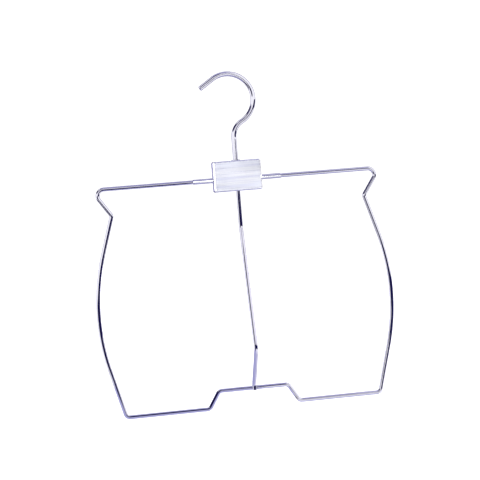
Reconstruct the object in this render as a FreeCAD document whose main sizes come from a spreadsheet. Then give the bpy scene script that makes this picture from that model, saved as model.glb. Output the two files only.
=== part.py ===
import FreeCAD, Part
import math
import os

import Sketcher
from FreeCAD import Placement, Rotation, Vector

# A chrome wire body-form display hanger. Its outline frame is two bent wires plugged into an
# aluminium block, a third wire bows forward down the middle, and a hook swivels in the block.
#
# Millimetres. X runs across the hanger, the front faces -Y and +Z is up. The origin is the
# point of the hook, on the swivel axis, that rests on the rail.

doc = FreeCAD.newDocument("hanger")

# ---------------------------------------------------------------- driving dimensions

DIMENSIONS = [
    ("hook_wire_dia", 5.0, "hook wire"),
    ("hook_bend_radius", 25.7, "centre line of the hook's round part"),
    ("hook_offset", 3.2, "round part's centre, left of the swivel axis"),
    ("hook_rise", 61.0, "round part's centre above the block"),
    ("hook_return_radius", 18.0, "centre line of the bend back onto the swivel axis"),
    ("hook_tip_angle", 124.0, "where the straight tip begins, from +X"),
    ("hook_tip_length", 15.7, "straight tip"),
    ("hook_end_chamfer", 0.6, "broken edge of the tip and of the shank's end"),
    ("shank_depth", 15.2, "shank's end below the block's top"),
    ("groove_depth", 12.5, "middle of the shank's groove below the block's top"),
    ("groove_width", 2.6, "groove along the shank"),
    ("groove_cut", 0.9, "how deep the groove is turned"),
    ("block_width", 48.5, "block along X"),
    ("block_height", 30.5, "block along Z"),
    ("block_thickness", 12.0, "block along Y"),
    ("block_corner_radius", 1.8, "round on the block's four long edges"),
    ("block_chamfer", 1.0, "bevel round the front and back faces"),
    ("bush_bore_clearance", 0.05, "radial running clearance of the shank in its bush"),
    ("bush_wall", 0.95, "bush"),
    ("bush_length", 10.0, "bush below its flange"),
    ("bush_flange_width", 0.6, "flange past the bush's wall"),
    ("bush_flange_height", 0.8, "flange"),
    ("shank_clearance", 0.3, "shank to block, below the bush and at its end"),
    ("frame_wire_dia", 4.0, "frame and centre wires"),
    ("bar_depth", 18.4, "top bar's axis below the block's top"),
    ("sleeve_wall", 0.5, "sleeves"),
    ("sleeve_reach", 20.5, "sleeve outside the block"),
    ("side_bore_depth", 12.0, "sleeve inside the block"),
    ("sleeve_chamfer", 0.3, "broken outer edge of a sleeve"),
    ("shoulder_half_width", 146.8, "corner of bar and shoulder wire"),
    ("shoulder_radius", 6.5, "bend at the shoulder"),
    ("notch_half_width", 128.6, "corner of the waist notch"),
    ("notch_drop", 26.6, "waist notch below the bar"),
    ("notch_radius", 4.0, "bend at the waist notch"),
    ("hip_half_width", 149.4, "widest point of the sides"),
    ("hip_drop", 126.0, "widest point below the bar"),
    ("hip_radius", 210.0, "round of the sides"),
    ("hem_half_width", 129.8, "bottom corner"),
    ("hem_drop", 227.1, "bottom rails below the bar"),
    ("hem_radius", 4.5, "bend at the bottom corner"),
    ("step_half_width", 45.9, "foot of the crotch step"),
    ("crotch_half_width", 35.2, "top of the crotch step"),
    ("crotch_drop", 209.9, "crotch rail below the bar"),
    ("step_radius", 5.0, "both bends of the step"),
    ("joint_offset", 3.8, "butt joint of the frame wires, right of the centre"),
    ("centre_bore_depth", 11.0, "centre wire inside the block"),
    ("bow_start_drop", 48.8, "upper bend of the centre wire below the bar"),
    ("bow_drop", 169.2, "lower bend of the centre wire below the bar"),
    ("bow_depth", 30.0, "lower bend in front of the frame"),
    ("bow_radius", 12.0, "both bends of the bow"),
    ("foot_length", 6.0, "upright foot of the centre wire"),
    ("foot_radius", 6.0, "bend above the foot"),
    ("bead_radius", 1.2, "weld beads beside the foot"),
    ("joint_ring_radius", 0.3, "flash round the butt joint"),
    ("screw_radius", 1.5, "M3 grub screws"),
    ("screw_length", 3.0, "clamp screws"),
    ("dog_body_length", 2.6, "threaded part of the dog-point screw"),
    ("dog_radius", 1.0, "point of the dog-point screw"),
    ("dog_gap", 0.3, "point to the bottom of the groove"),
    ("dog_body_gap", 0.4, "threaded part to the shank"),
    ("socket_flats", 1.5, "hexagon across flats"),
    ("socket_depth", 1.3, "hexagon socket"),
    ("clamp_inset", 6.0, "clamp screws from the block's sides and bottom"),
]

sheet = doc.addObject("Spreadsheet::Sheet", "dims")
for row, (alias, value, meaning) in enumerate(DIMENSIONS, start=1):
    sheet.set("A%d" % row, alias)
    sheet.set("B%d" % row, "%g" % value)
    sheet.set("C%d" % row, meaning)
    sheet.setAlias("B%d" % row, alias)
doc.recompute()


def size(alias):
    """The value of one cell of the sheet."""
    return float(getattr(sheet, alias))


# Heights that follow from the driving dimensions.
hook_inner_radius = size("hook_bend_radius") - size("hook_wire_dia") / 2
hook_centre_z = -math.sqrt(hook_inner_radius ** 2 - size("hook_offset") ** 2)
block_top_z = hook_centre_z - size("hook_rise")
block_middle_z = block_top_z - size("block_height") / 2
block_bottom_z = block_top_z - size("block_height")
bar_z = block_top_z - size("bar_depth")
crotch_z = bar_z - size("crotch_drop")
sleeve_inner_x = size("block_width") / 2 - size("side_bore_depth")
foot_y = -size("frame_wire_dia")

# Radii that several pieces share, as expressions over the sheet.
HOOK_RADIUS = "dims.hook_wire_dia / 2"
GROOVE_RADIUS = "(dims.hook_wire_dia / 2 - dims.groove_cut)"
WIRE_RADIUS = "dims.frame_wire_dia / 2"
SLEEVE_RADIUS = "(dims.frame_wire_dia / 2 + dims.sleeve_wall)"
BUSH_BORE = "(dims.hook_wire_dia / 2 + dims.bush_bore_clearance)"
BUSH_RADIUS = "(dims.hook_wire_dia / 2 + dims.bush_bore_clearance + dims.bush_wall)"

# Where the foot's weld beads sit, as shares of the frame wire's radius.
BEAD_ASIDE = 0.9
BEAD_BEHIND = 0.7

# ---------------------------------------------------------------- shared functions


def tangent_point(point, centre, radius, side):
    """Where the tangent from point touches a circle, in (x, z) pairs; side is +1 or -1."""
    dx = point[0] - centre[0]
    dz = point[1] - centre[1]
    angle = math.atan2(dz, dx) + side * math.acos(radius / math.hypot(dx, dz))
    return (centre[0] + radius * math.cos(angle), centre[1] + radius * math.sin(angle))


def crossing(a, b, c, d):
    """Where line a-b meets line c-d, in (x, z) pairs."""
    ux, uz = b[0] - a[0], b[1] - a[1]
    vx, vz = d[0] - c[0], d[1] - c[1]
    share = ((c[0] - a[0]) * vz - (c[1] - a[1]) * vx) / (ux * vz - uz * vx)
    return (a[0] + share * ux, a[1] + share * uz)


def rounded_wire(points, radii):
    """Straight runs through points, with a tangent arc of the given radius at each inner one."""
    edges = []
    start = points[0]
    for index, radius in enumerate(radii, start=1):
        corner = points[index]
        back = (points[index - 1] - corner).normalize()
        ahead = (points[index + 1] - corner).normalize()
        half_angle = back.getAngle(ahead) / 2
        enter = corner + back * (radius / math.tan(half_angle))
        leave = corner + ahead * (radius / math.tan(half_angle))
        bisector = (back + ahead).normalize()
        middle = corner + bisector * (radius / math.sin(half_angle) - radius)
        edges.append(Part.LineSegment(start, enter).toShape())
        edges.append(Part.Arc(enter, middle, leave).toShape())
        start = leave
    edges.append(Part.LineSegment(start, points[-1]).toShape())
    return Part.Wire(edges)


def swept_wire(name, path, diameter_alias):
    """A round wire along a path: a spine, a circle at its start and a sweep."""
    spine = doc.addObject("Part::Feature", name + "_path")
    spine.Shape = path
    first = path.Edges[0]
    tangent = first.tangentAt(first.FirstParameter)
    section = doc.addObject("Part::Circle", name + "_section")
    section.setExpression("Radius", "dims.%s / 2" % diameter_alias)
    section.Placement = Placement(first.firstVertex(True).Point, Rotation(Vector(0, 0, 1), tangent))
    sweep = doc.addObject("Part::Sweep", name)
    sweep.Sections = [section]
    sweep.Spine = (spine, ["Edge%d" % (i + 1) for i in range(len(path.Edges))])
    sweep.Solid = True
    sweep.Frenet = False
    doc.recompute()
    expected = path.Length * math.pi * (size(diameter_alias) / 2) ** 2
    if abs(sweep.Shape.Volume / expected - 1) > 0.002:
        raise RuntimeError("%s: the sweep lost volume" % name)
    return sweep


def cylinder(name, radius, height, base, direction):
    """A Part::Cylinder; radius and height are expressions over the sheet."""
    solid = doc.addObject("Part::Cylinder", name)
    solid.setExpression("Radius", radius)
    solid.setExpression("Height", height)
    solid.Placement = Placement(base, Rotation(Vector(0, 0, 1), direction))
    return solid


def cut(name, base, tool):
    result = doc.addObject("Part::Cut", name)
    result.Base = base
    result.Tool = tool
    return result


def compound(name, links):
    group = doc.addObject("Part::Compound", name)
    group.Links = links
    return group


def end_edges(shape, centres):
    """Numbers of the full circles about the given points."""
    found = []
    for number, edge in enumerate(shape.Edges, start=1):
        round_edge = edge.Curve.TypeId == "Part::GeomCircle" and edge.isClosed()
        if round_edge and any(edge.Curve.Center.distanceToPoint(c) < 1e-3 for c in centres):
            found.append(number)
    return found


def origin_plane(body, role):
    for feature in body.Origin.OriginFeatures:
        if feature.Role == role:
            return feature
    raise RuntimeError("no plane " + role)


def new_sketch(body, name, role, offset):
    """A sketch on the body's own origin plane; offset is three expressions in sketch axes."""
    sketch = body.newObject("Sketcher::SketchObject", name)
    sketch.AttachmentSupport = (origin_plane(body, role), [""])
    sketch.MapMode = "FlatFace"
    for axis, expression in zip("xyz", offset):
        if expression != "0":
            sketch.setExpression("AttachmentOffset.Base." + axis, expression)
    return sketch


def bind(sketch, constraint, name, expression):
    """Add a dimension to a sketch and tie it to the sheet."""
    number = sketch.addConstraint(constraint)
    sketch.renameConstraint(number, name)
    sketch.setExpression("Constraints." + name, expression)


def circles_sketch(body, name, role, offset, radii):
    """Circles about the sketch's own origin, one for each radius expression."""
    sketch = new_sketch(body, name, role, offset)
    for index, radius in enumerate(radii):
        sketch.addGeometry(Part.Circle(Vector(0, 0, 0), Vector(0, 0, 1), index + 1.0))
        sketch.addConstraint(Sketcher.Constraint("Coincident", index, 3, -1, 1))
        bind(sketch, Sketcher.Constraint("Radius", index, index + 1.0), "radius%d" % index, radius)
    return sketch


def pad(body, name, sketch, length, reverse=False, symmetric=False):
    feature = body.newObject("PartDesign::Pad", name)
    feature.Profile = sketch
    feature.setExpression("Length", length)
    feature.Reversed = reverse
    if symmetric:
        feature.SideType = "Symmetric"
    return feature


def bore(body, name, role, offset, radius, depth, reverse=False):
    """A round blind hole; the volume it takes away is checked, so that it can't point outwards."""
    doc.recompute()
    before = body.Shape.Volume
    feature = body.newObject("PartDesign::Pocket", name)
    feature.Profile = circles_sketch(body, name + "_sketch", role, offset, [radius])
    feature.setExpression("Length", depth)
    feature.Reversed = reverse
    doc.recompute()
    if body.Shape.Volume > before - 1.0:
        raise RuntimeError("%s cuts nothing" % name)
    return feature


# ---------------------------------------------------------------- the pieces


def make_hook():
    """Straight tip, round part, return bend and shank, with a groove turned near its end."""
    bend = size("hook_bend_radius")
    turn = size("hook_return_radius")
    centre = Vector(-size("hook_offset"), 0, hook_centre_z)
    drop = math.sqrt((bend + turn) ** 2 - (turn + size("hook_offset")) ** 2)
    turn_centre = Vector(turn, 0, hook_centre_z - drop)

    def around(middle, radius, degrees):
        angle = math.radians(degrees)
        return middle + Vector(radius * math.cos(angle), 0, radius * math.sin(angle))

    tip_angle = size("hook_tip_angle")
    meeting = math.degrees(math.atan2(turn_centre.z - centre.z, turn_centre.x - centre.x))
    tip_start = around(centre, bend, tip_angle)
    tip_direction = around(Vector(), 1.0, tip_angle + 90)
    tip_end = tip_start + tip_direction * size("hook_tip_length")
    turn_start = around(centre, bend, meeting)
    turn_middle = around(turn_centre, turn, (meeting + 180 + 180) / 2)
    shank_start = turn_centre - Vector(turn, 0, 0)
    shank_end = Vector(0, 0, block_top_z - size("shank_depth"))
    path = Part.Wire([
        Part.LineSegment(tip_end, tip_start).toShape(),
        Part.Arc(tip_start, around(centre, bend, (tip_angle + meeting) / 2), turn_start).toShape(),
        Part.Arc(turn_start, turn_middle, shank_start).toShape(),
        Part.LineSegment(shank_start, shank_end).toShape(),
    ])
    wire = swept_wire("hook_wire", path, "hook_wire_dia")

    groove_base = Vector(0, 0, block_top_z - size("groove_depth") - size("groove_width") / 2)
    up = Vector(0, 0, 1)
    groove = cut(
        "groove_ring",
        cylinder("groove_outside", "dims.hook_wire_dia", "dims.groove_width", groove_base, up),
        cylinder("groove_inside", GROOVE_RADIUS, "dims.groove_width", groove_base, up),
    )
    grooved = cut("hook_grooved", wire, groove)
    doc.recompute()
    hook = doc.addObject("Part::Chamfer", "hook")
    hook.Base = grooved
    broken = size("hook_end_chamfer")
    hook.Edges = [(n, broken, broken) for n in end_edges(grooved.Shape, [tip_end, shank_end])]
    return hook


def make_block():
    """Aluminium block with rounded long edges, bevelled faces and blind bores from five sides."""
    body = doc.addObject("PartDesign::Body", "block")
    outline = new_sketch(body, "block_outline", "XZ_Plane", ("0", "0", "0"))
    corners = [Vector(-1, -1, 0), Vector(1, -1, 0), Vector(1, 1, 0), Vector(-1, 1, 0)]
    for index, corner in enumerate(corners):
        outline.addGeometry(Part.LineSegment(corner, corners[(index + 1) % 4]))
    for index in range(4):
        outline.addConstraint(Sketcher.Constraint("Coincident", index, 2, (index + 1) % 4, 1))
        direction = "Horizontal" if index % 2 == 0 else "Vertical"
        outline.addConstraint(Sketcher.Constraint(direction, index))
    outline.addConstraint(Sketcher.Constraint("Symmetric", 0, 1, 2, 1, -1, 1))
    bind(outline, Sketcher.Constraint("DistanceX", 0, 1, 0, 2, 2.0), "width", "dims.block_width")
    bind(outline, Sketcher.Constraint("DistanceY", 1, 1, 1, 2, 2.0), "height", "dims.block_height")
    slab = pad(body, "block_slab", outline, "dims.block_thickness", symmetric=True)
    doc.recompute()

    rounded = body.newObject("PartDesign::Fillet", "block_rounds")
    half_thickness = size("block_thickness") / 2
    along_y = [
        "Edge%d" % n for n, edge in enumerate(slab.Shape.Edges, start=1)
        if abs(edge.BoundBox.YLength - size("block_thickness")) < 1e-6
    ]
    rounded.Base = (slab, along_y)
    rounded.setExpression("Radius", "dims.block_corner_radius")
    doc.recompute()

    bevelled = body.newObject("PartDesign::Chamfer", "block_bevels")
    rims = [
        "Edge%d" % n for n, edge in enumerate(rounded.Shape.Edges, start=1)
        if edge.BoundBox.YLength < 1e-6 and abs(abs(edge.BoundBox.YMin) - half_thickness) < 1e-6
    ]
    bevelled.Base = (rounded, rims)
    bevelled.setExpression("Size", "dims.block_chamfer")

    top = "dims.block_height / 2"
    side = "dims.block_width / 2"
    back = "-dims.block_thickness / 2"
    bar = "dims.block_height / 2 - dims.bar_depth"
    shank_bore = HOOK_RADIUS + " + dims.shank_clearance"
    bore(body, "bush_bore", "XY_Plane", ("0", "0", top), BUSH_RADIUS, "dims.bush_length")
    bore(body, "shank_bore", "XY_Plane", ("0", "0", top), shank_bore,
         "dims.shank_depth + dims.shank_clearance")
    bore(body, "right_sleeve_bore", "YZ_Plane", ("0", bar, side), SLEEVE_RADIUS,
         "dims.side_bore_depth")
    bore(body, "left_sleeve_bore", "YZ_Plane", ("0", bar, "-" + side), SLEEVE_RADIUS,
         "dims.side_bore_depth", reverse=True)
    bore(body, "centre_wire_bore", "XY_Plane", ("0", "0", "-" + top), WIRE_RADIUS,
         "dims.centre_bore_depth", reverse=True)

    screw_x = side + " - dims.clamp_inset"
    to_bore = "dims.block_thickness / 2 - %s / 2"
    bore(body, "right_screw_hole", "XZ_Plane", (screw_x, bar, back), "dims.screw_radius",
         to_bore % SLEEVE_RADIUS, reverse=True)
    bore(body, "left_screw_hole", "XZ_Plane", ("-(%s)" % screw_x, bar, back), "dims.screw_radius",
         to_bore % SLEEVE_RADIUS, reverse=True)
    bore(body, "centre_screw_hole", "XZ_Plane", ("0", "-%s + dims.clamp_inset" % top, back),
         "dims.screw_radius", to_bore % WIRE_RADIUS, reverse=True)
    bore(body, "dog_screw_hole", "XZ_Plane", ("0", top + " - dims.groove_depth", back),
         "dims.screw_radius", to_bore % HOOK_RADIUS, reverse=True)
    body.Placement = Placement(Vector(0, 0, block_middle_z), Rotation())
    return body


def make_bush():
    """Flanged brass bush in the block's top, in which the shank turns."""
    body = doc.addObject("PartDesign::Body", "swivel_bush")
    level = ("0", "0", "0")
    barrel = circles_sketch(body, "bush_barrel_sketch", "XY_Plane", level,
                            [BUSH_BORE, BUSH_RADIUS])
    pad(body, "bush_barrel", barrel, "dims.bush_length", reverse=True)
    flange = circles_sketch(body, "bush_flange_sketch", "XY_Plane", level,
                            [BUSH_BORE, BUSH_RADIUS + " + dims.bush_flange_width"])
    pad(body, "bush_flange", flange, "dims.bush_flange_height")
    body.Placement = Placement(Vector(0, 0, block_top_z), Rotation())
    return body


def make_sleeve(name, side):
    """Short tube over the end of a frame wire, plugged into the block; side is +1 or -1."""
    body = doc.addObject("PartDesign::Body", name)
    section = circles_sketch(body, name + "_sketch", "YZ_Plane", ("0", "0", "0"),
                             [WIRE_RADIUS, SLEEVE_RADIUS])
    tube = pad(body, name + "_tube", section, "dims.sleeve_reach + dims.side_bore_depth")
    doc.recompute()
    outer_end = size("sleeve_reach") + size("side_bore_depth")
    rim = [
        "Edge%d" % n for n, edge in enumerate(tube.Shape.Edges, start=1)
        if abs(edge.BoundBox.XMin - outer_end) < 1e-6
        and edge.BoundBox.YLength > size("frame_wire_dia") + size("sleeve_wall")
    ]
    broken = body.newObject("PartDesign::Chamfer", name + "_rim")
    broken.Base = (tube, rim)
    broken.setExpression("Size", "dims.sleeve_chamfer")
    half_turn = Rotation(Vector(0, 0, 1), 0 if side > 0 else 180)
    body.Placement = Placement(Vector(side * sleeve_inner_x, 0, bar_z), half_turn)
    return body


def make_frame_wire(name, side):
    """One half of the outline, from inside its sleeve to the butt joint; side is +1 or -1."""
    notch = (size("notch_half_width"), bar_z - size("notch_drop"))
    hem = (size("hem_half_width"), bar_z - size("hem_drop"))
    hip_centre = (size("hip_half_width") - size("hip_radius"), bar_z - size("hip_drop"))
    upper_touch = tangent_point(notch, hip_centre, size("hip_radius"), -1)
    lower_touch = tangent_point(hem, hip_centre, size("hip_radius"), 1)
    hip = crossing(notch, upper_touch, hem, lower_touch)
    outline = [
        (sleeve_inner_x, bar_z),
        (size("shoulder_half_width"), bar_z),
        notch,
        hip,
        hem,
        (size("step_half_width"), hem[1]),
        (size("crotch_half_width"), crotch_z),
        (side * size("joint_offset"), crotch_z),
    ]
    radii = [
        size("shoulder_radius"), size("notch_radius"), size("hip_radius"),
        size("hem_radius"), size("step_radius"), size("step_radius"),
    ]
    points = [Vector(side * x, 0, z) for x, z in outline]
    return swept_wire(name, rounded_wire(points, radii), "frame_wire_dia")


def make_centre_wire():
    """From the block down, out to the front and back to the crotch rail, in the YZ plane."""
    points = [
        Vector(0, 0, block_bottom_z + size("centre_bore_depth")),
        Vector(0, 0, bar_z - size("bow_start_drop")),
        Vector(0, -size("bow_depth"), bar_z - size("bow_drop")),
        Vector(0, foot_y, crotch_z - size("frame_wire_dia") / 2 + size("foot_length")),
        Vector(0, foot_y, crotch_z - size("frame_wire_dia") / 2),
    ]
    radii = [size("bow_radius"), size("bow_radius"), size("foot_radius")]
    return swept_wire("centre_wire", rounded_wire(points, radii), "frame_wire_dia")


def wire_core(name, middle, direction):
    """A straight piece of frame wire about a point, to cut its place out of a weld."""
    reach = size("frame_wire_dia") * 2
    return cylinder(name, WIRE_RADIUS, "dims.frame_wire_dia * 4", middle - direction * reach, direction)


def make_foot_weld():
    """A bead on each side of the foot, in the corner that it makes with the rail."""
    beads = []
    for side in (-1, 1):
        bead = doc.addObject("Part::Sphere", "bead_left" if side < 0 else "bead_right")
        bead.setExpression("Radius", "dims.bead_radius")
        reach = size("frame_wire_dia") / 2
        bead.Placement.Base = Vector(
            side * BEAD_ASIDE * reach, foot_y + BEAD_BEHIND * reach, crotch_z
        )
        beads.append(bead)
    rail = wire_core("rail_in_foot_weld", Vector(0, 0, crotch_z), Vector(1, 0, 0))
    foot = wire_core("foot_in_foot_weld", Vector(0, foot_y, crotch_z), Vector(0, 0, 1))
    beside_foot = cut("beads_beside_foot", compound("foot_beads", beads), foot)
    return cut("foot_weld", beside_foot, rail)


def make_joint_weld():
    """A thin ring of flash round the butt joint of the two frame wires."""
    middle = Vector(size("joint_offset"), 0, crotch_z)
    along = Vector(1, 0, 0)
    ring = doc.addObject("Part::Torus", "joint_ring")
    ring.setExpression("Radius1", WIRE_RADIUS)
    ring.setExpression("Radius2", "dims.joint_ring_radius")
    ring.Placement = Placement(middle, Rotation(Vector(0, 0, 1), along))
    return cut("joint_weld", ring, wire_core("rail_in_joint_weld", middle, along))


def grub_screw(name, x, inner_y, z, length_alias, dog_y=None):
    """A socket screw from the block's back; its thread starts at inner_y and a dog at dog_y."""
    inward_end = Vector(x, inner_y, z)
    back = Vector(0, 1, 0)
    length = "dims." + length_alias
    shaft = cylinder(name + "_shaft", "dims.screw_radius", length, inward_end, back)
    socket = doc.addObject("Part::Prism", name + "_socket")
    socket.Polygon = 6
    socket.setExpression("Circumradius", "dims.socket_flats / sqrt(3)")
    socket.setExpression("Height", "dims.socket_depth")
    mouth = Vector(x, inner_y + size(length_alias), z)
    socket.Placement = Placement(mouth - back * size("socket_depth"), Rotation(Vector(0, 0, 1), back))
    if dog_y is None:
        return cut(name, shaft, socket)
    dog = doc.addObject("Part::Cylinder", name + "_point")
    dog.setExpression("Radius", "dims.dog_radius")
    dog.Height = inner_y - dog_y
    dog.Placement = Placement(Vector(x, dog_y, z), Rotation(Vector(0, 0, 1), back))
    pointed = doc.addObject("Part::Fuse", name + "_blank")
    pointed.Base = shaft
    pointed.Tool = dog
    return cut(name, pointed, socket)


def make_clamp_screws():
    """Three alike: one on each sleeve and one on the centre wire."""
    side_x = size("block_width") / 2 - size("clamp_inset")
    on_sleeve = size("frame_wire_dia") / 2 + size("sleeve_wall")
    on_wire = size("frame_wire_dia") / 2
    low_z = block_bottom_z + size("clamp_inset")
    return compound("clamp_screws", [
        grub_screw("left_clamp", -side_x, on_sleeve, bar_z, "screw_length"),
        grub_screw("right_clamp", side_x, on_sleeve, bar_z, "screw_length"),
        grub_screw("centre_clamp", 0, on_wire, low_z, "screw_length"),
    ])


def make_dog_screw():
    """Its point runs in the shank's groove, which keeps the hook in but lets it turn."""
    shank = size("hook_wire_dia") / 2
    point_y = shank - size("groove_cut") + size("dog_gap")
    groove_z = block_top_z - size("groove_depth")
    return grub_screw("dog_screw", 0, shank + size("dog_body_gap"), groove_z, "dog_body_length", point_y)


# ---------------------------------------------------------------- build, check and write

pieces = [
    make_hook(),
    make_block(),
    make_bush(),
    make_sleeve("left_sleeve", -1),
    make_sleeve("right_sleeve", 1),
    make_frame_wire("left_frame_wire", -1),
    make_frame_wire("right_frame_wire", 1),
    make_centre_wire(),
    make_foot_weld(),
    make_joint_weld(),
    make_clamp_screws(),
    make_dog_screw(),
]
doc.recompute()

for item in doc.Objects:
    if "Invalid" in item.State or "Error" in item.State:
        raise RuntimeError("%s failed: %s" % (item.Name, item.State))
for piece in pieces:
    if piece.Shape.isNull() or not piece.Shape.isValid():
        raise RuntimeError("%s has no valid shape" % piece.Label)

os.makedirs("parts", exist_ok=True)
for piece in pieces:
    piece.Shape.exportStep("parts/%s.step" % piece.Label)
    solids = len(piece.Shape.Solids)
    print("%-18s %d solid(s) %10.2f mm3" % (piece.Label, solids, piece.Shape.Volume))
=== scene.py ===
"""A chrome wire hanger for flat goods: swivel hook, brushed centre block, two bent frame wires and a
bowed centre wire. Lengths are in metres, X across, -Y to the front and +Z up, as in the frame."""

import math

import bmesh
import bpy
from mathutils import Matrix, Vector, geometry


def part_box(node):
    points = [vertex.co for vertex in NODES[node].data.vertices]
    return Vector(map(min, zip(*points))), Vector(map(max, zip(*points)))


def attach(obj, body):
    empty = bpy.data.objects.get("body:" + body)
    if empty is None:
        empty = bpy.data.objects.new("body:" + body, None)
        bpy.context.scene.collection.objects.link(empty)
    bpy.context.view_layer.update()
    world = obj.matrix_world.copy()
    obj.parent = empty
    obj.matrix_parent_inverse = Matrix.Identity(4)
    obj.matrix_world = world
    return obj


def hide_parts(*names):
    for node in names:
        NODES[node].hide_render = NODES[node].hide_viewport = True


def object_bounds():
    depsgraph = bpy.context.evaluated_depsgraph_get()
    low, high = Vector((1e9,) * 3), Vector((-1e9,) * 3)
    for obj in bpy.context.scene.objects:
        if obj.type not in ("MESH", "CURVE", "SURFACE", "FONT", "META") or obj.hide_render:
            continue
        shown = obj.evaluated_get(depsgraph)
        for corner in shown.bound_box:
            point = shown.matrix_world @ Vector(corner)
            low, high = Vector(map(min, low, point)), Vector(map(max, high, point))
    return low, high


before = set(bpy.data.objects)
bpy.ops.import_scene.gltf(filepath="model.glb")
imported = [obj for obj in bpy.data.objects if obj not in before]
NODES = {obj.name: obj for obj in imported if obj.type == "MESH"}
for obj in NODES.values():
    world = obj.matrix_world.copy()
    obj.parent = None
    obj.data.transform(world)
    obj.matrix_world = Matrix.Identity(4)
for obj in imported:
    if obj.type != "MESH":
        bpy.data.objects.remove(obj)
CAD_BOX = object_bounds()

# The camera stands a little to the left of the front, and the hanger is seen turned in the picture.
CAMERA_AZIMUTH = math.radians(-10.5)
CAMERA_ELEVATION = math.radians(1.9)
CAMERA_ROLL = math.radians(4.55)
CAMERA_DISTANCE = 1.94
CAMERA_TARGET = Vector((-0.002, 0.0, -0.1636))
PICTURE_WIDTH = 0.48
SENSOR_WIDTH = 36.0

FLOOR_DROP = 0.09
FLOOR_RADIUS = 6.0
FLOOR_SIDES = 96
FLOOR_COLOUR = (0.95, 0.95, 0.96)
# How bright the plain white is that the camera sees behind everything.
BACKGROUND_STRENGTH = 1.2
SUN_ENERGY = 3.6
SUN_ANGLE = math.radians(50.0)
# Soft lights: name, azimuth in degrees, energy in watts, and whether the sleeves alone are lit.
FILL_LIGHTS = (
    ("front_fill", 38.0, 5.6, False),
    ("back_right_fill", 135.0, 1.5, False),
    ("back_left_fill", -135.0, 1.5, False),
    ("left_fill", -75.0, 1.8, False),
    ("right_fill", 75.0, 1.8, False),
    ("sleeve_fill", 10.5, 1.6, True),
)
FILL_SIZE = 0.6
FILL_DISTANCE = 1.0
FILL_RISE = 0.12

# What the metal reflects: white all round, with soft-edged dark and tinted panels. Each panel has
# its middle and half size as azimuth and elevation, in degrees, azimuth 0 being straight in front.
WHITE = (0.98, 0.98, 1.0)
NAVY = (0.008, 0.006, 0.055)
SLATE = (0.10, 0.09, 0.28)
INDIGO = (0.12, 0.10, 0.30)
LAVENDER = (0.42, 0.42, 0.66)
PEARL = (0.60, 0.58, 0.68)
PANELS = (
    # name, azimuth, half width, elevation, half height, softness, colour
    ("ground", 0, 180, -80, 24, 6, LAVENDER),
    ("zenith", 0, 180, 85, 18, 6, LAVENDER),
    ("behind", 170, 60, 0, 58, 10, INDIGO),
    ("upper_left", -95, 60, 36, 14, 5, NAVY),
    ("upper_front", -22, 26, 50, 18, 5, NAVY),
    ("post", 16, 8, 48, 22, 5, SLATE),
    ("lower_left", -70, 34, -36, 14, 4, NAVY),
    ("horizon", 25, 78, -2.4, 2.4, 0.7, NAVY),
    ("horizon_left", -34, 22, -8.5, 8, 1, NAVY),
    ("horizon_middle", -8, 14, -6, 6, 1, NAVY),
    ("horizon_right", 47, 53, -8.5, 8, 1, NAVY),
    ("window", -10, 30, 23, 9, 3, PEARL),
)
# A lavender card lies this far below the hanger, and reaches from and to these places along X.
LOW_CARD_DROP = 0.014
LOW_CARD_FROM = -0.25
LOW_CARD_TO = 0.02
LOW_CARD_DEPTH = 0.5
# Dark cards stand this far in front: name, from and to along X, from and to along Z.
NEAR_CARD_FRONT = 0.1
NEAR_CARDS = (
    ("near_left_card", -0.18, -0.025, -0.33, -0.12),
    ("near_low_card", -0.025, 0.06, -0.30, -0.25),
    ("near_rail_card", 0.06, 0.135, -0.27, -0.23),
    ("near_bar_card", 0.045, 0.17, -0.095, -0.06),
)

# The wires' own sizes, as in the CAD model.
HOOK_WIRE_DIA = 0.005
HOOK_BEND_RADIUS = 0.0257
HOOK_OFFSET = 0.0032
HOOK_RETURN_RADIUS = 0.018
HOOK_TIP_ANGLE = math.radians(124.0)
HOOK_TIP_LENGTH = 0.0157
HOOK_END_CHAMFER = 0.0006
SHANK_DEPTH = 0.0152
GROOVE_DEPTH = 0.0125
GROOVE_WIDTH = 0.0026
GROOVE_CUT = 0.0009
FRAME_WIRE_DIA = 0.004
BAR_DEPTH = 0.0184
SIDE_BORE_DEPTH = 0.012
SHOULDER_HALF_WIDTH = 0.1468
SHOULDER_RADIUS = 0.0065
NOTCH_HALF_WIDTH = 0.1286
NOTCH_DROP = 0.0266
NOTCH_RADIUS = 0.004
HIP_HALF_WIDTH = 0.1494
HIP_DROP = 0.126
HIP_RADIUS = 0.21
HEM_HALF_WIDTH = 0.1298
HEM_DROP = 0.2271
HEM_RADIUS = 0.0045
STEP_HALF_WIDTH = 0.0459
CROTCH_HALF_WIDTH = 0.0352
CROTCH_DROP = 0.2099
STEP_RADIUS = 0.005
JOINT_OFFSET = 0.0038
CENTRE_BORE_DEPTH = 0.011
BOW_START_DROP = 0.0488
BOW_DROP = 0.1692
BOW_DEPTH = 0.03
BOW_RADIUS = 0.012
FOOT_LENGTH = 0.006
FOOT_RADIUS = 0.006
SLEEVE_CHAMFER = 0.0003
RING_SIDES = 48
ARC_STEP = math.radians(1.5)
RUN_GUARD = 0.0003
SHARP_ANGLE = math.radians(30.0)
TANGENT_STRETCH = 3.0
ALONG_X = Vector((1.0, 0.0, 0.0))
ALONG_Y = Vector((0.0, 1.0, 0.0))

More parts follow.
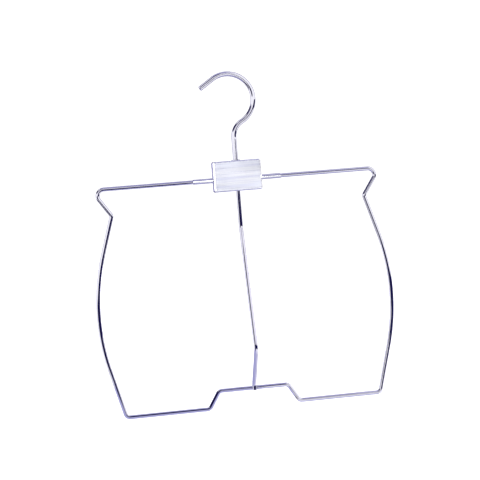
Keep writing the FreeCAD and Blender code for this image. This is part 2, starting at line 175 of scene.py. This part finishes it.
# The metals. A pair of colours is the darker and the lighter one that a pattern goes between.
# Noise scales are features per metre, and depths of relief are in metres.
MICRON = 0.000001
NOISE_RANGE = (0.3, 0.7)
PLAIN_WHITE = (1.0, 1.0, 1.0)
CHROME_COLOURS = ((0.86, 0.85, 0.96), (0.93, 0.92, 0.98))
CHROME_ROUGHNESS = (0.025, 0.07)
HAIR_ROUGHNESS = 0.04
HAIR_SOFTNESS = 0.04
PIT_REACH = (0.05, 0.12)
RUBBED_REACH = (0.004, 0.012)
RUBBED_ROUGHNESS = 0.35
SLEEVE_COLOURS = ((0.90, 0.90, 0.97), (0.98, 0.98, 1.0))
SLEEVE_ROUGHNESS = (0.11, 0.16)
WELD_COLOURS = ((0.55, 0.54, 0.60), (0.90, 0.90, 0.93))
WELD_ROUGHNESS = (0.10, 0.26)
BLOCK_TINTS = ((0.82, 0.84, 0.97), (0.97, 0.98, 1.0))
BLOCK_GRAIN = (0.86, 0.87, 0.93)
BLOCK_ROUGHNESS = (0.26, 0.42)
# Painted highlight: the bevels' colour, lighter than the face, draws a bright line along the block's
# edges.
BEVEL_HIGHLIGHT_COLOUR = (0.98, 0.98, 1.0)
BEVEL_REACH = (-0.0013, -0.0008)
BEVEL_POLISH = 0.14
BUSH_COLOURS = ((0.62, 0.61, 0.70), (0.82, 0.82, 0.88))
BUSH_ROUGHNESS = (0.16, 0.30)
SCREW_COLOURS = ((0.10, 0.10, 0.115), (0.42, 0.42, 0.46))
SCREW_ROUGHNESS = (0.24, 0.45)


def make_camera():
    """The camera at the picture's own angle, leaning by its roll."""
    back = Vector((
        math.sin(CAMERA_AZIMUTH) * math.cos(CAMERA_ELEVATION),
        -math.cos(CAMERA_AZIMUTH) * math.cos(CAMERA_ELEVATION),
        math.sin(CAMERA_ELEVATION),
    ))
    level = Vector((math.cos(CAMERA_AZIMUTH), math.sin(CAMERA_AZIMUTH), 0.0))
    upright = back.cross(level)
    right = level * math.cos(CAMERA_ROLL) - upright * math.sin(CAMERA_ROLL)
    up = back.cross(right)
    data = bpy.data.cameras.new("camera")
    data.sensor_width = SENSOR_WIDTH
    data.lens = SENSOR_WIDTH * CAMERA_DISTANCE / PICTURE_WIDTH
    camera = bpy.data.objects.new("camera", data)
    bpy.context.scene.collection.objects.link(camera)
    turn = Matrix((right, up, back)).transposed().to_4x4()
    camera.matrix_world = Matrix.Translation(CAMERA_TARGET + back * CAMERA_DISTANCE) @ turn
    bpy.context.scene.camera = camera


def run(start, end):
    """Stations of a straight run: its ends, and a close neighbour of each for true shading."""
    ahead = (end - start).normalized()
    places = (start, start + ahead * RUN_GUARD, end - ahead * RUN_GUARD, end)
    return [(place, ahead) for place in places]


def arc(centre, start, axis, sweep):
    """Stations of an arc that turns about axis from start."""
    count = math.ceil(abs(sweep) / ARC_STEP)
    stations = []
    for index in range(1, count):
        spoke = Matrix.Rotation(sweep * index / count, 3, axis) @ (start - centre)
        stations.append((centre + spoke, axis.cross(spoke).normalized() * math.copysign(1.0, sweep)))
    return stations


def rounded_path(points, radii):
    """Stations along straight runs through points, with a tangent arc at each inner one."""
    stations = []
    start = points[0]
    for index, radius in enumerate(radii, start=1):
        corner = points[index]
        before = (corner - points[index - 1]).normalized()
        after = (points[index + 1] - corner).normalized()
        sweep = before.angle(after)
        reach = radius * math.tan(sweep / 2)
        enter = corner - before * reach
        centre = corner + (after - before).normalized() * (radius / math.cos(sweep / 2))
        stations += run(start, enter)
        stations += arc(centre, enter, before.cross(after).normalized(), sweep)
        start = corner + after * reach
    return stations + run(start, points[-1])


def tangent_point(point, centre, radius, side):
    """Where the tangent from point touches a circle, in (x, z) pairs; side is +1 or -1."""
    offset = Vector(point) - Vector(centre)
    angle = math.atan2(offset.y, offset.x) + side * math.acos(radius / offset.length)
    return (centre[0] + radius * math.cos(angle), centre[1] + radius * math.sin(angle))


def rod(name, stations, across, node, closed=False):
    """A round rod in place of a CAD node. A station is a place, a direction and a radius; across is
    square to every direction. A closed rod's last ring meets its first, and others have flat ends."""
    shape = bmesh.new()
    turns = [2 * math.pi * index / RING_SIDES for index in range(RING_SIDES)]
    rings = []
    for place, ahead, radius in stations:
        side = ahead.cross(across)
        rings.append([
            shape.verts.new(place + (across * math.cos(turn) + side * math.sin(turn)) * radius)
            for turn in turns
        ])
    for first, second in zip(rings, rings[1:] + (rings[:1] if closed else [])):
        for index in range(RING_SIDES):
            following = (index + 1) % RING_SIDES
            shape.faces.new((first[index], first[following], second[following], second[index]))
    if not closed:
        shape.faces.new(rings[0])
        shape.faces.new(rings[-1])
    bmesh.ops.recalc_face_normals(shape, faces=shape.faces)
    for face in shape.faces:
        face.smooth = True
    for edge in shape.edges:
        edge.smooth = edge.calc_face_angle() < SHARP_ANGLE
    mesh = bpy.data.meshes.new(name)
    shape.to_mesh(mesh)
    shape.free()
    piece = bpy.data.objects.new(name, mesh)
    bpy.context.scene.collection.objects.link(piece)
    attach(piece, "hook" if node == "hook" else "hanger")
    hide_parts(node)
    return piece


def thick(stations, radius):
    """The same stations, each with the one radius."""
    return [(place, ahead, radius) for place, ahead in stations]


def make_hook(block_top):
    """Straight tip, round part, return bend and shank, with broken ends and the shank's groove."""
    radius = HOOK_WIRE_DIA / 2
    about = ALONG_Y
    inner = HOOK_BEND_RADIUS - radius
    centre = Vector((-HOOK_OFFSET, 0.0, -math.sqrt(inner ** 2 - HOOK_OFFSET ** 2)))
    apart = HOOK_BEND_RADIUS + HOOK_RETURN_RADIUS
    fall = math.sqrt(apart ** 2 - (HOOK_RETURN_RADIUS + HOOK_OFFSET) ** 2)
    turn_centre = Vector((HOOK_RETURN_RADIUS, 0.0, centre.z - fall))
    spoke = Vector((math.cos(HOOK_TIP_ANGLE), 0.0, math.sin(HOOK_TIP_ANGLE)))
    tip_start = centre + spoke * HOOK_BEND_RADIUS
    tip_ahead = about.cross(spoke)
    tip_end = tip_start - tip_ahead * HOOK_TIP_LENGTH
    meeting = math.atan2(turn_centre.z - centre.z, turn_centre.x - centre.x)
    turn_start = centre + (turn_centre - centre).normalized() * HOOK_BEND_RADIUS
    shank_start = Vector((0.0, 0.0, turn_centre.z))
    shank_end = Vector((0.0, 0.0, block_top - SHANK_DEPTH))
    down = Vector((0.0, 0.0, -1.0))
    path = run(tip_end + tip_ahead * HOOK_END_CHAMFER, tip_start)
    path += arc(centre, tip_start, about, HOOK_TIP_ANGLE - meeting)
    path += arc(turn_centre, turn_start, about, meeting)
    groove_top = Vector((0.0, 0.0, block_top - GROOVE_DEPTH + GROOVE_WIDTH / 2))
    groove_low = groove_top + down * GROOVE_WIDTH
    stations = [(tip_end, tip_ahead, radius - HOOK_END_CHAMFER)]
    stations += thick(path + run(shank_start, groove_top), radius)
    stations += [
        (groove_top, down, radius - GROOVE_CUT),
        (groove_low, down, radius - GROOVE_CUT),
        (groove_low, down, radius),
        (shank_end - down * HOOK_END_CHAMFER, down, radius),
        (shank_end, down, radius - HOOK_END_CHAMFER),
    ]
    return rod("hook_rod", stations, about, "hook")


def make_frame_wire(name, side, bar_z, sleeve_inner_x):
    """One half of the outline, from inside its sleeve to the butt joint; side is +1 or -1."""
    notch = (NOTCH_HALF_WIDTH, bar_z - NOTCH_DROP)
    hem = (HEM_HALF_WIDTH, bar_z - HEM_DROP)
    hip_centre = (HIP_HALF_WIDTH - HIP_RADIUS, bar_z - HIP_DROP)
    crotch_z = bar_z - CROTCH_DROP
    upper_touch = tangent_point(notch, hip_centre, HIP_RADIUS, -1)
    lower_touch = tangent_point(hem, hip_centre, HIP_RADIUS, 1)
    hip = geometry.intersect_line_line_2d(
        Vector(notch), Vector(notch).lerp(Vector(upper_touch), TANGENT_STRETCH),
        Vector(hem), Vector(hem).lerp(Vector(lower_touch), TANGENT_STRETCH),
    )
    outline = [
        (sleeve_inner_x, bar_z), (SHOULDER_HALF_WIDTH, bar_z), notch, hip, hem,
        (STEP_HALF_WIDTH, hem[1]), (CROTCH_HALF_WIDTH, crotch_z), (side * JOINT_OFFSET, crotch_z),
    ]
    radii = (SHOULDER_RADIUS, NOTCH_RADIUS, HIP_RADIUS, HEM_RADIUS, STEP_RADIUS, STEP_RADIUS)
    path = rounded_path([Vector((side * x, 0.0, z)) for x, z in outline], radii)
    return rod(name, thick(path, FRAME_WIRE_DIA / 2), ALONG_Y, name.replace("outline", "frame"))


def make_centre_wire(block_low, bar_z):
    """From the block down, out to the front and back to its foot on the crotch rail."""
    foot_y = -FRAME_WIRE_DIA
    foot_z = bar_z - CROTCH_DROP - FRAME_WIRE_DIA / 2
    points = [
        Vector((0.0, 0.0, block_low + CENTRE_BORE_DEPTH)),
        Vector((0.0, 0.0, bar_z - BOW_START_DROP)),
        Vector((0.0, -BOW_DEPTH, bar_z - BOW_DROP)),
        Vector((0.0, foot_y, foot_z + FOOT_LENGTH)),
        Vector((0.0, foot_y, foot_z)),
    ]
    path = rounded_path(points, (BOW_RADIUS, BOW_RADIUS, FOOT_RADIUS))
    return rod("bow_wire", thick(path, FRAME_WIRE_DIA / 2), ALONG_X, "centre_wire")


def make_sleeve(node, side):
    """A tube from its inner end, round its broken rim, and back through its bore."""
    low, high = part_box(node)
    ahead = ALONG_X * side
    axis = Vector((0.0, (low.y + high.y) / 2, (low.z + high.z) / 2))
    inner = axis + ahead * min(abs(low.x), abs(high.x))
    outer = axis + ahead * max(abs(low.x), abs(high.x))
    radius, bore = (high.z - low.z) / 2, FRAME_WIRE_DIA / 2
    stations = [
        (inner, ahead, bore),
        (inner, ahead, radius),
        (outer - ahead * SLEEVE_CHAMFER, ahead, radius),
        (outer, ahead, radius - SLEEVE_CHAMFER),
        (outer, ahead, bore),
    ]
    return rod(node + "_tube", stations, ALONG_Y, node, closed=True)


def make_wires():
    """Every rod, by the material slot that it belongs to."""
    block_low, block_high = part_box("block")
    bar_z = block_high.z - BAR_DEPTH
    sleeve_inner_x = block_high.x - SIDE_BORE_DEPTH
    return {
        "hook_chrome": [make_hook(block_high.z)],
        "sleeve_chrome": [make_sleeve("left_sleeve", -1), make_sleeve("right_sleeve", 1)],
        "frame_chrome": [
            make_frame_wire("left_outline_wire", -1, bar_z, sleeve_inner_x),
            make_frame_wire("right_outline_wire", 1, bar_z, sleeve_inner_x),
            make_centre_wire(block_low.z, bar_z),
        ],
    }


class NodeTree:
    """A node tree with short calls that add nodes and join them."""

    # Where a Mix node keeps its sockets for colours.
    MIX_INPUTS = (0, 6, 7)
    MIX_OUTPUT = 2

    def __init__(self, tree):
        self.tree = tree
        self.tree.nodes.clear()

    def add(self, kind, **settings):
        """A new shader node with its settings."""
        node = self.tree.nodes.new("ShaderNode" + kind)
        for name, value in settings.items():
            setattr(node, name, value)
        return node

    def join(self, source, target):
        """Joins source to target, or sets target when source is a plain value."""
        if isinstance(source, bpy.types.NodeSocket):
            self.tree.links.new(source, target)
        else:
            target.default_value = source

    def join_colour(self, source, target):
        """As join, for a colour that may be three plain numbers."""
        self.join(source if isinstance(source, bpy.types.NodeSocket) else (*source, 1.0), target)

    def math(self, operation, *sources):
        """One Math node's result over the sources."""
        node = self.add("Math", operation=operation)
        for source, target in zip(sources, node.inputs):
            self.join(source, target)
        return node.outputs[0]

    def spread(self, value, low, high, to_low=0.0, to_high=1.0, smooth=False):
        """Maps low..high to to_low..to_high, held at both ends."""
        node = self.add("MapRange", interpolation_type="SMOOTHSTEP" if smooth else "LINEAR")
        for source, target in zip((value, low, high, to_low, to_high), node.inputs):
            self.join(source, target)
        return node.outputs["Result"]

    def blend(self, share, first, second, blend_type="MIX"):
        """A colour that goes from first to second, or to their product, as share goes from 0 to 1."""
        node = self.add("Mix", data_type="RGBA", blend_type=blend_type)
        factor, start, end = (node.inputs[index] for index in self.MIX_INPUTS)
        self.join(share, factor)
        self.join_colour(first, start)
        self.join_colour(second, end)
        return node.outputs[self.MIX_OUTPUT]


class Metal(NodeTree):
    """A metal's material: one Principled shader, its detail laid out in the frame's coordinates."""

    def __init__(self, name):
        self.material = bpy.data.materials.new(name)
        self.material.use_nodes = True
        super().__init__(self.material.node_tree)
        self.shader = self.add("BsdfPrincipled")
        self.shader.inputs["Metallic"].default_value = 1.0
        self.join(self.shader.outputs[0], self.add("OutputMaterial").inputs["Surface"])
        self.place = self.add("TexCoord").outputs["Object"]

    def stretched(self, scale, turn=(0.0, 0.0, 0.0)):
        """The place, turned by angles in degrees and then scaled along each axis."""
        node = self.add("Mapping")
        self.join(self.place, node.inputs["Vector"])
        self.join(tuple(math.radians(angle) for angle in turn), node.inputs["Rotation"])
        self.join(tuple(scale), node.inputs["Scale"])
        return node.outputs[0]

    def noise(self, scale, detail=2.0):
        """Noise with the same scale along every axis."""
        return self.noise_at(self.place, scale, detail)

    def grain(self, scale, detail, turn=(0.0, 0.0, 0.0)):
        """Noise with its own scale along each axis."""
        return self.noise_at(self.stretched(scale, turn), 1.0, detail)

    def noise_at(self, place, scale, detail):
        node = self.add("TexNoise")
        self.join(place, node.inputs["Vector"])
        self.join(scale, node.inputs["Scale"])
        self.join(detail, node.inputs["Detail"])
        return node.outputs["Fac"]

    def waves(self, direction, profile, **values):
        """Even ripples along direction."""
        node = self.add("TexWave", wave_type="BANDS", bands_direction=direction, wave_profile=profile)
        self.join(self.place, node.inputs["Vector"])
        for socket, value in values.items():
            self.join(value, node.inputs[socket])
        return node.outputs["Fac"]

    def colour(self, pattern, colours):
        """Goes between the two colours as the pattern goes from 0 to 1."""
        self.join(self.blend(pattern, *colours), self.shader.inputs["Base Color"])

    def roughness(self, value):
        self.join(value, self.shader.inputs["Roughness"])

    def relief(self, *layers):
        """Bumps over one another: each layer is a height from 0 to 1 and its depth in metres."""
        normal = None
        for height, depth in layers:
            node = self.add("Bump")
            self.join(height, node.inputs["Height"])
            self.join(depth, node.inputs["Distance"])
            if normal is not None:
                self.join(normal, node.inputs["Normal"])
            normal = node.outputs[0]
        self.join(normal, self.shader.inputs["Normal"])


def scratches(metal, scale, turn, rare):
    """Fine straight scratches, 1 inside a scratch and 0 between them."""
    return metal.spread(metal.grain(scale, 3.0, turn), rare, rare + HAIR_SOFTNESS)


def chrome(name, worn_at=None):
    """Bright plating over drawn wire: nearly a mirror, with a faint wave, haze, hair scratches and
    pits. The plating is rubbed dull within a centimetre of worn_at."""
    metal = Metal(name)
    metal.colour(metal.noise(scale=32.0), CHROME_COLOURS)
    hairs = metal.math(
        "MAXIMUM",
        scratches(metal, scale=(90.0, 90.0, 5200.0), turn=(12.0, 35.0, 0.0), rare=0.66),
        scratches(metal, scale=(4800.0, 120.0, 120.0), turn=(0.0, -28.0, 20.0), rare=0.68),
    )
    dots = metal.add("TexVoronoi")
    metal.join(metal.place, dots.inputs["Vector"])
    metal.join(1100.0, dots.inputs["Scale"])
    pits = metal.spread(dots.outputs["Distance"], *PIT_REACH, 1.0, 0.0)
    haze = metal.spread(metal.noise(scale=900.0, detail=4.0), *NOISE_RANGE, *CHROME_ROUGHNESS)
    rough = metal.math("ADD", haze, metal.math("MULTIPLY", hairs, HAIR_ROUGHNESS))
    if worn_at is not None:
        reach = metal.add("VectorMath", operation="DISTANCE")
        metal.join(metal.place, reach.inputs[0])
        metal.join(tuple(worn_at), reach.inputs[1])
        rubbed = metal.spread(reach.outputs["Value"], *RUBBED_REACH, 1.0, 0.0, smooth=True)
        rubbing = metal.math("MULTIPLY", rubbed, metal.grain(scale=(400.0, 90.0, 900.0), detail=4.0))
        rough = metal.math("ADD", rough, metal.math("MULTIPLY", rubbing, RUBBED_ROUGHNESS))
    metal.roughness(rough)
    metal.relief(
        (metal.noise(scale=110.0), 5 * MICRON),
        (hairs, 0.6 * MICRON),
        (metal.math("MULTIPLY", pits, -1.0), 2 * MICRON),
    )
    return metal.material


def satin_sleeve(name):
    """The sleeves' satin plating: paler and softer than the wires, with fine turning marks."""
    metal = Metal(name)
    marks = metal.grain(scale=(2400.0, 60.0, 60.0), detail=4.0)
    cloud = metal.noise(scale=120.0, detail=3.0)
    metal.colour(cloud, SLEEVE_COLOURS)
    metal.roughness(metal.spread(marks, *NOISE_RANGE, *SLEEVE_ROUGHNESS))
    metal.relief((marks, 0.8 * MICRON), (cloud, MICRON))
    return metal.material


def weld_metal(name):
    """Plated weld beads: softer reflections over fine slanting ripples."""
    metal = Metal(name)
    ripples = metal.waves("DIAGONAL", "SIN", Scale=620.0, Distortion=3.0, Detail=2.0)
    soot = metal.noise(scale=800.0, detail=4.0)
    metal.colour(soot, WELD_COLOURS)
    metal.roughness(metal.spread(soot, *NOISE_RANGE, *WELD_ROUGHNESS))
    metal.relief((ripples, 80 * MICRON), (metal.noise(scale=2600.0, detail=3.0), 10 * MICRON))
    return metal.material


def brushed_aluminium(name, block_low, block_high):
    """The block's aluminium, brushed from side to side, with polished bevels that also carry a painted
    highlight.
    """
    metal = Metal(name)
    grain = metal.grain(scale=(14.0, 2600.0, 2600.0), detail=5.0)
    streaks = metal.grain(scale=(16.0, 260.0, 260.0), detail=3.0)
    bands = metal.grain(scale=(9.0, 70.0, 150.0), detail=2.0)
    tone = metal.math("ADD", metal.math("MULTIPLY", bands, 0.6), metal.math("MULTIPLY", streaks, 0.4))
    tint = metal.blend(metal.spread(tone, 0.34, 0.62), *BLOCK_TINTS)
    fine = metal.blend(metal.spread(grain, 0.35, 0.65), BLOCK_GRAIN, PLAIN_WHITE)
    face = metal.blend(1.0, tint, fine, "MULTIPLY")
    middle, half = (block_low + block_high) / 2, (block_high - block_low) / 2
    axes = metal.add("SeparateXYZ")
    metal.join(metal.place, axes.inputs[0])
    beyond_x, beyond_y, beyond_z = (
        metal.math("SUBTRACT", metal.math("ABSOLUTE", metal.math("SUBTRACT", along, centre)), reach)
        for along, centre, reach in zip(axes.outputs, middle, half)
    )
    corner = metal.math("MINIMUM", metal.math("MAXIMUM", beyond_x, beyond_z), beyond_y)
    bevel_polish_and_highlight = metal.spread(corner, *BEVEL_REACH)
    # Painted highlight: the bevels are painted lighter than the face. Their lower roughness below is
    # real polish.
    metal.colour(bevel_polish_and_highlight, (face, BEVEL_HIGHLIGHT_COLOUR))
    brushed = metal.spread(grain, *NOISE_RANGE, *BLOCK_ROUGHNESS)
    metal.roughness(metal.math("SUBTRACT", brushed, metal.math("MULTIPLY", bevel_polish_and_highlight, BEVEL_POLISH)))
    metal.relief((grain, 12 * MICRON), (streaks, 10 * MICRON))
    return metal.material


def turned_steel(name):
    """The bush's plated steel, with turning marks round its axis."""
    metal = Metal(name)
    marks = metal.waves("Z", "SAW", Scale=1400.0, Distortion=0.6, Detail=1.0)
    stain = metal.noise(scale=700.0, detail=3.0)
    metal.colour(stain, BUSH_COLOURS)
    metal.roughness(metal.spread(stain, *NOISE_RANGE, *BUSH_ROUGHNESS))
    metal.relief((marks, 8 * MICRON), (metal.noise(scale=3000.0, detail=3.0), 4 * MICRON))
    return metal.material


def screw_steel(name):
    """Dark oiled steel of the grub screws, with brighter metal where a key has rubbed it."""
    metal = Metal(name)
    rubbed = metal.spread(metal.noise(scale=1500.0, detail=4.0), 0.52, 0.66)
    metal.colour(rubbed, SCREW_COLOURS)
    dull = metal.noise(scale=3200.0, detail=3.0)
    metal.roughness(metal.spread(dull, *NOISE_RANGE, *SCREW_ROUGHNESS))
    metal.relief((metal.noise(scale=2400.0, detail=4.0), 10 * MICRON), (rubbed, 6 * MICRON))
    return metal.material


def make_surround():
    """The world: plain white to the camera, and the panels to everything that reflects."""
    world = bpy.data.worlds.new("studio")
    bpy.context.scene.world = world
    world.use_nodes = True
    tree = NodeTree(world.node_tree)
    direction = tree.add("SeparateXYZ")
    tree.join(tree.add("TexCoord").outputs["Generated"], direction.inputs[0])
    x, y, z = direction.outputs
    azimuth = tree.math("ARCTAN2", x, tree.math("MULTIPLY", y, -1.0))
    elevation = tree.math("ARCSINE", z)

    def within(angle, half, softness):
        edges = (math.radians(half + softness), math.radians(half - softness))
        return tree.spread(tree.math("ABSOLUTE", angle), *edges, smooth=True)

    colour = WHITE
    for _, middle, half_width, height, half_height, softness, tint in PANELS:
        turn = tree.math("SUBTRACT", azimuth, math.radians(middle))
        across = within(tree.math("WRAP", turn, math.pi, -math.pi), half_width, softness)
        along = within(tree.math("SUBTRACT", elevation, math.radians(height)), half_height, softness)
        colour = tree.blend(tree.math("MULTIPLY", across, along), colour, tint)
    surround, plain = tree.add("Background"), tree.add("Background")
    tree.join(colour, surround.inputs["Color"])
    tree.join_colour(PLAIN_WHITE, plain.inputs["Color"])
    tree.join(BACKGROUND_STRENGTH, plain.inputs["Strength"])
    choice = tree.add("MixShader")
    tree.join(tree.add("LightPath").outputs["Is Camera Ray"], choice.inputs["Fac"])
    tree.join(surround.outputs[0], choice.inputs[1])
    tree.join(plain.outputs[0], choice.inputs[2])
    tree.join(choice.outputs[0], tree.add("OutputWorld").inputs["Surface"])


def stage_mesh(name, build, location, material, hidden_from):
    """A mesh of the stage, which the named kinds of ray don't meet."""
    shape = bmesh.new()
    build(shape)
    mesh = bpy.data.meshes.new(name)
    shape.to_mesh(mesh)
    shape.free()
    mesh.materials.append(material)
    thing = bpy.data.objects.new(name, mesh)
    thing.location = location
    for ray in hidden_from:
        setattr(thing, "visible_" + ray, False)
    bpy.context.scene.collection.objects.link(thing)


def make_floor():
    """A plain pale floor well below the hanger."""
    material = bpy.data.materials.new("floor")
    material.use_nodes = True
    tree = NodeTree(material.node_tree)
    paint = tree.add("BsdfDiffuse")
    tree.join_colour(FLOOR_COLOUR, paint.inputs["Color"])
    tree.join(paint.outputs[0], tree.add("OutputMaterial").inputs["Surface"])
    stage_mesh(
        "floor",
        lambda shape: bmesh.ops.create_circle(
            shape, cap_ends=True, segments=FLOOR_SIDES, radius=FLOOR_RADIUS,
        ),
        (0.0, 0.0, CAD_BOX[0].z - FLOOR_DROP), material, ("glossy",),
    )


def make_card(name, colour, size, location, turn):
    """A glowing card that only reflections meet."""
    material = bpy.data.materials.new(name)
    material.use_nodes = True
    tree = NodeTree(material.node_tree)
    glow = tree.add("Emission")
    tree.join_colour(colour, glow.inputs["Color"])
    tree.join(glow.outputs[0], tree.add("OutputMaterial").inputs["Surface"])
    place = Matrix.Rotation(turn, 4, "X") @ Matrix.Diagonal((size[0] / 2, size[1] / 2, 1.0, 1.0))
    stage_mesh(
        name,
        lambda shape: bmesh.ops.create_grid(shape, x_segments=1, y_segments=1, size=1.0, matrix=place),
        location, material, ("camera", "diffuse", "shadow", "transmission"),
    )


def make_cards():
    """A lavender card close below the rails, and dark ones close in front of the frame."""
    low_z = CAD_BOX[0].z - LOW_CARD_DROP
    low_middle = ((LOW_CARD_FROM + LOW_CARD_TO) / 2, 0.0, low_z)
    make_card("low_card", LAVENDER, (LOW_CARD_TO - LOW_CARD_FROM, LOW_CARD_DEPTH), low_middle, 0.0)
    for name, x_from, x_to, z_from, z_to in NEAR_CARDS:
        middle = ((x_from + x_to) / 2, -NEAR_CARD_FRONT, (z_from + z_to) / 2)
        make_card(name, NAVY, (x_to - x_from, z_to - z_from), middle, math.pi / 2)


def make_lights(sleeves):
    """A wide soft sun overhead, and soft lights for the block and its sleeves only."""
    sun = bpy.data.lights.new("overhead", "SUN")
    sun.energy = SUN_ENERGY
    sun.angle = SUN_ANGLE
    overhead = bpy.data.objects.new("overhead", sun)
    overhead.visible_glossy = False
    bpy.context.scene.collection.objects.link(overhead)
    alone = bpy.data.collections.new("sleeves_only")
    both = bpy.data.collections.new("block_and_sleeves")
    for sleeve in sleeves:
        alone.objects.link(sleeve)
        both.objects.link(sleeve)
    both.objects.link(NODES["block"])
    low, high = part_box("block")
    for name, azimuth, energy, sleeves_only in FILL_LIGHTS:
        data = bpy.data.lights.new(name, "AREA")
        data.shape = "DISK"
        data.size = FILL_SIZE
        data.energy = energy
        light = bpy.data.objects.new(name, data)
        turn = math.radians(azimuth)
        away = Vector((math.sin(turn), -math.cos(turn), FILL_RISE)).normalized()
        light.location = (low + high) / 2 + away * FILL_DISTANCE
        light.rotation_euler = away.to_track_quat("Z", "Y").to_euler()
        light.light_linking.receiver_collection = alone if sleeves_only else both
        bpy.context.scene.collection.objects.link(light)


def dress(materials):
    """Gives each piece the material listed with it."""
    for slot_name, (material, things) in materials.items():
        for thing in things:
            thing.data.materials.clear()
            thing.data.materials.append(material)


make_camera()
make_surround()
make_floor()
make_cards()
wires = make_wires()
make_lights(wires["sleeve_chrome"])
dress({
    "hook_chrome": (chrome("hook_chrome", worn_at=(0.0, 0.0, 0.0)), wires["hook_chrome"]),
    "sleeve_chrome": (satin_sleeve("sleeve_chrome"), wires["sleeve_chrome"]),
    "frame_chrome": (chrome("frame_chrome"), wires["frame_chrome"]),
    "weld_metal": (weld_metal("weld_metal"), [NODES["foot_weld"], NODES["joint_weld"]]),
    "block_aluminium": (brushed_aluminium("block_aluminium", *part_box("block")), [NODES["block"]]),
    "bush_metal": (turned_steel("bush_metal"), [NODES["swivel_bush"]]),
    "screw_steel": (screw_steel("screw_steel"), [NODES["clamp_screws"], NODES["dog_screw"]]),
})
bpy.context.scene.view_settings.view_transform = "Standard"
